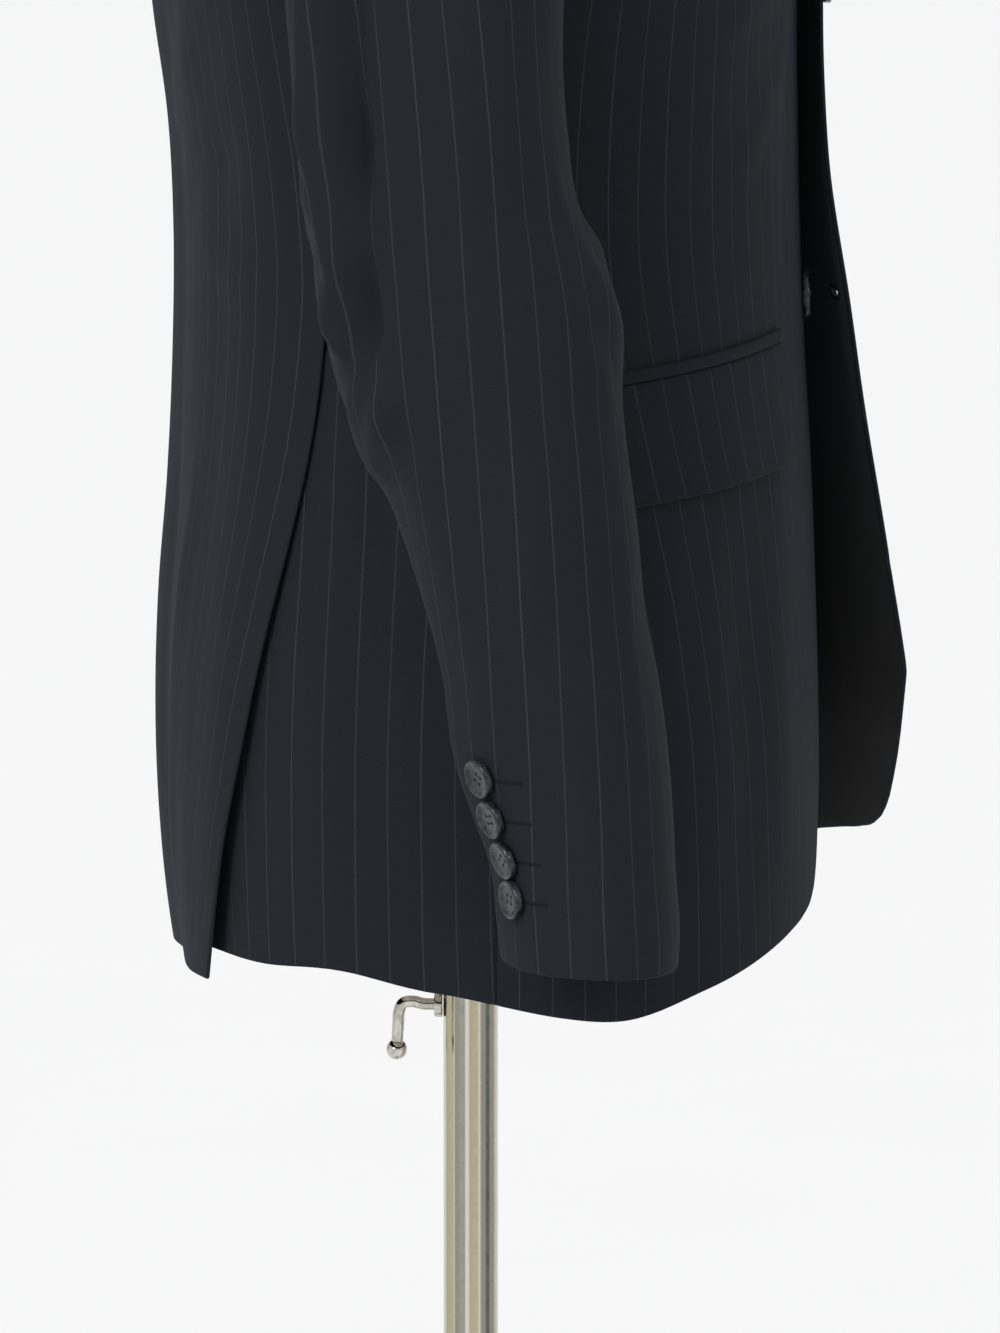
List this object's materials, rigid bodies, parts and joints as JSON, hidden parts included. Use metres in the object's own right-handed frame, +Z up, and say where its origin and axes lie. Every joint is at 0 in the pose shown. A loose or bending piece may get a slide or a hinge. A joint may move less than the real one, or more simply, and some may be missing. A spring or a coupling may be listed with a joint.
{
  "type": "two-button suit jacket on a limbless dress form with a telescopic stand",
  "caption": "Single-breasted suit jacket with notch lapels, flap pockets and side vents, worn by a limbless dress form that slides and clamps on a round-based chrome pole.",
  "frame": {"origin": "centre of the underside of the round base, on the pole's axis", "axes": "+Z up along the pole, the jacket's front faces -Y, the wearer's left is +X"},
  "size_m": [0.6316, 0.3364, 1.528],
  "materials": {
    "cloth": "matt worsted with a fine pinstripe",
    "horn": "glossy marbled grey",
    "canvas": "matt canvas over a rigid core",
    "chrome": "polished"
  },
  "bodies": {
    "stand": {"stand_base": "chrome", "stand_tube": "chrome", "clamp_nut": "chrome"},
    "clamp": {"clamp_handle": "chrome"},
    "form": {"dress_form": "canvas", "inner_tube": "chrome", "stop_collar": "chrome", "back_left": "cloth", "back_right": "cloth", "side_left": "cloth", "side_right": "cloth", "front_left": "cloth", "front_right": "cloth", "lapel_left": "cloth", "lapel_right": "cloth", "collar": "cloth", "sleeve_top_left": "cloth", "sleeve_top_right": "cloth", "sleeve_under_left": "cloth", "sleeve_under_right": "cloth", "pocket_jet_left": "cloth", "pocket_jet_right": "cloth", "pocket_flap_left": "cloth", "pocket_flap_right": "cloth", "button_top": "horn", "button_low": "horn", "cuff_button_left_1": "horn", "cuff_button_left_2": "horn", "cuff_button_left_3": "horn", "cuff_button_left_4": "horn", "cuff_button_right_1": "horn", "cuff_button_right_2": "horn", "cuff_button_right_3": "horn", "cuff_button_right_4": "horn"}
  },
  "joints": [
    {"name": "height_slide", "type": "slide", "parent": "stand", "child": "form", "axis": [0, 0, 1], "range_m": [0, 0.15]},
    {"name": "clamp_turn", "type": "hinge", "parent": "stand", "child": "clamp", "pos_m": [0, 0.0162, 0.7332], "axis": [0, 1, 0], "range_deg": [-90, 90]}
  ]
}
